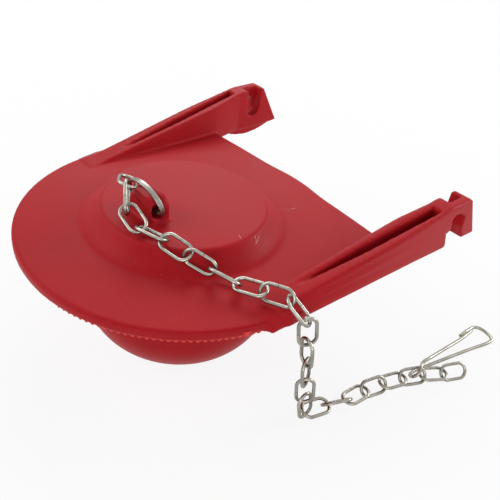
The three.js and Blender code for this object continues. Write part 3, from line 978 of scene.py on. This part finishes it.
def lean_and_yaw(point):
    x, z = point
    y, z = -z * math.sin(STRIP_LEAN), z * math.cos(STRIP_LEAN)
    turned_x = x * math.cos(STRIP_YAW) - y * math.sin(STRIP_YAW)
    turned_y = x * math.sin(STRIP_YAW) + y * math.cos(STRIP_YAW)
    return turned_x + STRIP_SLIDE, turned_y + LUG_MIDDLE_Y, z + LUG_HOLE_Z


level = math.cos(STRIP_LEAN)
across_strip = (-level * math.sin(STRIP_YAW), level * math.cos(STRIP_YAW), math.sin(STRIP_LEAN))
ring = sweep("strip_ring", [lean_and_yaw(p) for p in ring_path()], strip_section(), True, across=across_strip)
print("ring:", len(ring.data.polygons), "faces")

# %% Clip
CLIP_WIRE = 1.0
CLIP_ROUTE = [
    (58, 70.5, 1.7), (58.1, 65, 1.5), (57.7, 57, 1.7), (57.4, 49, 2.1), (57.8, 44.2, 3.6), (58.7, 41.2, 4.8),
    (59.7, 39, 3.8), (58.9, 38.1, 2.3), (57.6, 38.8, 1.2), (57.1, 41.4, 0.7), (57.9, 45.6, 0.5),
    (59.9, 55, 0.5), (61.9, 64, 0.5), (63.8, 72.6, 0.5), (63.3, 74.4, 0.5), (59.2, 75.4, 0.5),
    (57.3, 74.2, 0.5), (56.8, 71, 0.6), (56.8, 66.6, 0.6)]


def smooth_route(points, per_span=12):
    """A centripetal curve through the points, the same one that the solid follows."""
    points = np.array(points, dtype=float)
    padded = np.vstack([2 * points[0] - points[1], points, 2 * points[-1] - points[-2]])
    route = []
    for p0, p1, p2, p3 in zip(padded, padded[1:], padded[2:], padded[3:]):
        gaps = [np.linalg.norm(b - a) ** 0.5 for a, b in ((p0, p1), (p1, p2), (p2, p3))]
        m1 = ((p1 - p0) / gaps[0] - (p2 - p0) / (gaps[0] + gaps[1]) + (p2 - p1) / gaps[1]) * gaps[1]
        m2 = ((p2 - p1) / gaps[1] - (p3 - p1) / (gaps[1] + gaps[2]) + (p3 - p2) / gaps[2]) * gaps[1]
        for t in np.linspace(0, 1, per_span, endpoint=False):
            route.append((2 * t ** 3 - 3 * t ** 2 + 1) * p1 + (t ** 3 - 2 * t ** 2 + t) * m1
                         + (-2 * t ** 3 + 3 * t ** 2) * p2 + (t ** 3 - t ** 2) * m2)
    return route + [points[-1]]


clip_path = smooth_route([(x, y, FLOOR + height) for x, y, height in CLIP_ROUTE])
clip = sweep("wire_clip", clip_path, round_section(CLIP_WIRE / 2), False)
print("clip:", len(clip.data.polygons), "faces")

links = sorted(name for name in frame["nodes"] if name.startswith("chain_link_"))
for piece, nodes in ((chain, links), (ring, ["lug_ring"]), (clip, ["clip"])):
    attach(piece, "root")
    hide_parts(*nodes)
print("replaced:", len(links) + 2, "solids")

# %% [markdown]
# ## Finishes
#
# Rubber and steel both need the same three small things: a tone that wanders over the surface, a fine
# grain for the light to catch, and scattered specks. They share one node group for that, which puts
# out plain values, and each material uses them in its own way.

# %% Worn surface group


def remap(tree, value, low, high, new_low, new_high):
    node = add(tree, "ShaderNodeMapRange", {
        "Value": value, "From Min": low, "From Max": high, "To Min": new_low, "To Max": new_high})
    return node.outputs[0]


def surface_group():
    tree, entry, out = new_tree("worn_surface", "ShaderNodeTree", [
        ("Position", "NodeSocketVector", None), ("Patch Scale", "NodeSocketFloat", 40.0),
        ("Grain Scale", "NodeSocketFloat", 900.0)],
        [("Tone", "NodeSocketFloat"), ("Grain", "NodeSocketFloat"), ("Specks", "NodeSocketFloat")])
    position, grain_scale = entry.outputs["Position"], entry.outputs["Grain Scale"]
    patches = add(tree, "ShaderNodeTexNoise", {
        "Vector": position, "Scale": entry.outputs["Patch Scale"], "Detail": 4.0, "Roughness": 0.6})
    grain = add(tree, "ShaderNodeTexNoise", {
        "Vector": position, "Scale": grain_scale, "Detail": 3.0, "Roughness": 0.65})
    dots = add(tree, "ShaderNodeTexNoise", {
        "Vector": position, "Scale": calculate(tree, "MULTIPLY", grain_scale, 0.7),
        "Detail": 1.0, "Roughness": 0.5, "Distortion": 0.6})
    tree.links.new(remap(tree, patches.outputs[0], 0.3, 0.7, 0, 1), out.inputs["Tone"])
    tree.links.new(grain.outputs[0], out.inputs["Grain"])
    tree.links.new(remap(tree, dots.outputs[0], 0.68, 0.74, 0, 1), out.inputs["Specks"])
    return tree


worn_surface = surface_group()
print("shared group outputs:", [s.name for s in worn_surface.interface.items_tree if s.in_out == "OUTPUT"])

# %% [markdown]
# ### Scratches
#
# The dome and the disc carry a few short pale scratches. Each is a thin bar in the surface's own
# coordinates: the position is turned so that the scratch lies along X, and the mask fades out past its
# length and its width. A little noise bends it and breaks it up.

# %% Scratch group


def scratch_group():
    tree, entry, out = new_tree("scratch", "ShaderNodeTree", [
        ("Position", "NodeSocketVector", None), ("Place", "NodeSocketVector", None),
        ("Turn", "NodeSocketFloat", 0.0), ("Length", "NodeSocketFloat", 0.003),
        ("Width", "NodeSocketFloat", 0.0002)], [("Mask", "NodeSocketFloat")])
    local = add(tree, "ShaderNodeVectorMath", {
        0: entry.outputs["Position"], 1: entry.outputs["Place"]}, operation="SUBTRACT")
    lie = add(tree, "ShaderNodeVectorRotate", {
        "Vector": local.outputs[0], "Angle": entry.outputs["Turn"]}, rotation_type="Z_AXIS")
    wobble = add(tree, "ShaderNodeTexNoise", {
        "Vector": entry.outputs["Position"], "Scale": 700.0, "Detail": 2.0})
    parts = add(tree, "ShaderNodeSeparateXYZ", {"Vector": lie.outputs[0]})
    shift = remap(tree, wobble.outputs[0], 0.3, 0.7, -0.00012, 0.00012)
    across = calculate(tree, "ABSOLUTE", calculate(tree, "ADD", parts.outputs["Y"], shift))
    along = calculate(tree, "ABSOLUTE", parts.outputs["X"])
    narrow = remap(tree, calculate(tree, "DIVIDE", across, entry.outputs["Width"]), 0.3, 1.0, 1, 0)
    short = remap(tree, calculate(tree, "DIVIDE", along, entry.outputs["Length"]), 0.3, 0.5, 1, 0)
    height = remap(tree, calculate(tree, "ABSOLUTE", parts.outputs["Z"]), 0.001, 0.0015, 1, 0)
    mask = calculate(tree, "MULTIPLY", calculate(tree, "MULTIPLY", narrow, short), height)
    broken = calculate(tree, "MULTIPLY", mask, remap(tree, wobble.outputs[0], 0.4, 0.55, 0.35, 1))
    tree.links.new(broken, out.inputs["Mask"])
    return tree


scratch = scratch_group()
SCRATCHES = [
    ((22.1, 6.0, 7.8), -57, 3.4, 0.2),
    ((22.0, 5.5, 7.8), -9, 1.6, 0.16),
    ((20.2, 1.7, 8.1), -23, 2.0, 0.16),
    ((11.0, 26.3, 3.3), 56, 3.1, 0.12),
    ((11.9, 28.7, 3.3), 80, 3.3, 0.12)]
for place, turn, length, width in SCRATCHES:
    print("scratch at", place, "turned", turn, "degrees:", length, "by", width, "mm")

# %% [markdown]
# ### Red rubber
#
# The rubber is deep red with a weak gloss that it tints red itself. It is a little lighter and duller
# where it has been handled, and its skin has the very fine grain of a blasted mould.

# %% Rubber material


def position_of(tree):
    return add(tree, "ShaderNodeTexCoord").outputs["Object"]


def blend_colour(tree, share, first, second):
    node = add(tree, "ShaderNodeMix", {"Factor": share}, data_type="RGBA")
    for socket, value in ((node.inputs[6], first), (node.inputs[7], second)):
        if isinstance(value, bpy.types.NodeSocket):
            tree.links.new(value, socket)
        else:
            socket.default_value = (*value, 1)
    return node.outputs[2]


RED_DEEP, RED_BRIGHT, RED_PALE = (0.37, 0.008, 0.013), (0.43, 0.012, 0.018), (0.55, 0.27, 0.26)
# The thin flash's lighter red is painted light: it stands in for light coming through the thin rubber.
RED_THIN = (0.72, 0.035, 0.02, 1)
SCRATCH_STRENGTH, SPECK_STRENGTH = 0.8, 0.04


def finish_rubber(material):
    tree = material.node_tree
    shader = tree.nodes["Principled BSDF"]
    position = position_of(tree)
    worn = add(tree, "ShaderNodeGroup", {
        "Position": position, "Patch Scale": 38.0, "Grain Scale": 1600.0}, node_tree=worn_surface)
    colour = blend_colour(tree, worn.outputs["Tone"], RED_DEEP, RED_BRIGHT)
    pale = calculate(tree, "MULTIPLY", worn.outputs["Specks"], SPECK_STRENGTH)
    for place, turn, length, width in SCRATCHES:
        mark = add(tree, "ShaderNodeGroup", {
            "Position": position, "Place": tuple(to_model(place)), "Turn": math.radians(-turn),
            "Length": length * MM, "Width": width * MM}, node_tree=scratch).outputs["Mask"]
        pale = calculate(tree, "MAXIMUM", pale, calculate(tree, "MULTIPLY", mark, SCRATCH_STRENGTH))
    tree.links.new(blend_colour(tree, pale, colour, RED_PALE), shader.inputs["Base Color"])
    tree.links.new(remap(tree, worn.outputs["Tone"], 0, 1, 0.44, 0.52), shader.inputs["Roughness"])
    bump = add(tree, "ShaderNodeBump", {
        "Height": worn.outputs["Grain"], "Strength": 0.12, "Distance": 0.0001})
    tree.links.new(bump.outputs[0], shader.inputs["Normal"])
    shader.inputs["Specular IOR Level"].default_value = 0.16
    shader.inputs["Specular Tint"].default_value = (1.0, 0.5, 0.5, 1.0)


def finish_flash(material):
    """The same rubber where it is so thin that light comes through it; that light is painted into its lighter
    red.
    """
    shader = material.node_tree.nodes["Principled BSDF"]
    shader.inputs["Base Color"].default_value = RED_THIN
    shader.inputs["Roughness"].default_value = 0.45
    shader.inputs["Specular IOR Level"].default_value = 0.2


finish_rubber(rubber)
finish_flash(flash)
print("rubber nodes:", len(rubber.node_tree.nodes))

# %% [markdown]
# ### Dull steel
#
# The chain, the ring and the clip are plated steel wire gone a little dull and brown in the water.
# The piece number stored by the chain's tree shifts the pattern from link to link, so that no two
# look alike. Where the wire's side turns away from the eye its colour is painted darker: a painted
# reflection of a dark room, as bare wire shows.

# %% Steel material
STEEL_DULL, STEEL_BRIGHT, STEEL_DARK = (0.25, 0.235, 0.20), (0.41, 0.39, 0.345), (0.075, 0.06, 0.045)


def finish_steel(material):
    tree = material.node_tree
    shader = tree.nodes["Principled BSDF"]
    number = add(tree, "ShaderNodeAttribute", attribute_name="piece_number").outputs["Fac"]
    shift = add(tree, "ShaderNodeCombineXYZ", {"X": calculate(tree, "MULTIPLY", number, 0.13)})
    position = add(tree, "ShaderNodeVectorMath", {
        0: position_of(tree), 1: shift.outputs[0]}, operation="ADD").outputs[0]
    worn = add(tree, "ShaderNodeGroup", {
        "Position": position, "Patch Scale": 260.0, "Grain Scale": 3200.0}, node_tree=worn_surface)
    colour = blend_colour(tree, worn.outputs["Tone"], STEEL_DULL, STEEL_BRIGHT)
    dirty = calculate(tree, "MULTIPLY", worn.outputs["Specks"], 0.5)
    # Painted reflection: the base colour darkens towards the dark steel where the wire turns away from the
    # eye; the specks mixed in with it are real dirt.
    turned_away = add(tree, "ShaderNodeLayerWeight", {"Blend": 0.5}).outputs["Facing"]
    dirt_and_painted_reflection = calculate(tree, "MAXIMUM", dirty, remap(tree, turned_away, 0.45, 0.95, 0, 0.75))
    tree.links.new(blend_colour(tree, dirt_and_painted_reflection, colour, STEEL_DARK), shader.inputs["Base Color"])
    tree.links.new(remap(tree, worn.outputs["Tone"], 0, 1, 0.36, 0.24), shader.inputs["Roughness"])
    bump = add(tree, "ShaderNodeBump", {
        "Height": worn.outputs["Grain"], "Strength": 0.15, "Distance": 0.00005})
    tree.links.new(bump.outputs[0], shader.inputs["Normal"])
    shader.inputs["Metallic"].default_value = 1.0


finish_steel(steel)
print("steel nodes:", len(steel.node_tree.nodes))

# %% [markdown]
# ## Floor and light
#
# The object lies on a plain white floor under soft light, which comes from both sides and from behind
# the object, with a weak lamp low behind the camera. A photograph's white ground is brighter than the
# light that falls on it would make it, so rays from the camera, also by way of metal, find the floor
# partly in a white of its own. That leaves the shadow faint and adds no light to the object.

# %% Floor
FLOOR_HALF = 3.0
FLOOR_GREY = (0.93, 0.93, 0.93, 1)
FLOOR_OWN_WHITE = 0.88
WHITE = (1, 1, 1, 1)


def seen_as_ground(tree):
    """1 for a ray from the camera, straight or by way of metal and glass, and 0 for any other."""
    seen = add(tree, "ShaderNodeLightPath").outputs
    either = calculate(tree, "ADD", seen["Is Camera Ray"], seen["Is Glossy Ray"])
    return calculate(tree, "MINIMUM", calculate(tree, "ADD", either, seen["Is Transmission Ray"]), 1)


def floor_material():
    material = bpy.data.materials.new("white_floor")
    material.use_nodes = True
    tree = material.node_tree
    tree.nodes.clear()
    plain = add(tree, "ShaderNodeBsdfDiffuse", {"Color": FLOOR_GREY})
    glow = add(tree, "ShaderNodeEmission", {"Color": WHITE, "Strength": 1.0})
    own_white = calculate(tree, "MULTIPLY", seen_as_ground(tree), FLOOR_OWN_WHITE)
    mixed = add(tree, "ShaderNodeMixShader", {0: own_white, 1: plain.outputs[0], 2: glow.outputs[0]})
    add(tree, "ShaderNodeOutputMaterial", {"Surface": mixed.outputs[0]})
    return material


low = (FLOOR - DOME_TOP) * MM
corners = [(x * FLOOR_HALF, y * FLOOR_HALF, low) for x, y in ((-1, -1), (1, -1), (1, 1), (-1, 1))]
floor = plain_mesh("floor", corners, [(0, 1, 2, 3)], smooth=False)
floor.data.materials.append(floor_material())
print("floor at z =", low)

# %% World and lamps
LAMPS = [
    ("left_softbox", (-0.42, -0.50, 0.42), 0.55, 2.8),
    ("right_softbox", (0.34, 0.76, 0.30), 0.45, 3.6),
    ("back_softbox", (-0.50, 0.40, 0.62), 0.60, 3.2),
    ("low_fill", (0.60, -0.42, 0.10), 0.50, 1.8)]
WORLD_STRENGTH = 0.28


def make_world():
    world = bpy.data.worlds.new("soft_white")
    world.use_nodes = True
    scene.world = world
    tree = world.node_tree
    tree.nodes.clear()
    strength = remap(tree, seen_as_ground(tree), 0, 1, WORLD_STRENGTH, 1.0)
    light = add(tree, "ShaderNodeBackground", {"Color": WHITE, "Strength": strength})
    add(tree, "ShaderNodeOutputWorld", {"Surface": light.outputs[0]})


def make_lamp(name, place, size, watts):
    data = bpy.data.lights.new(name, "AREA")
    data.shape = "DISK"
    data.size = size
    data.energy = watts
    lamp = bpy.data.objects.new(name, data)
    lamp.location = place
    lamp.rotation_euler = mathutils.Vector(place).to_track_quat("Z", "Y").to_euler()
    scene.collection.objects.link(lamp)


make_world()
for lamp in LAMPS:
    make_lamp(*lamp)
scene.view_settings.view_transform = "Standard"
print("lamps:", len(LAMPS))
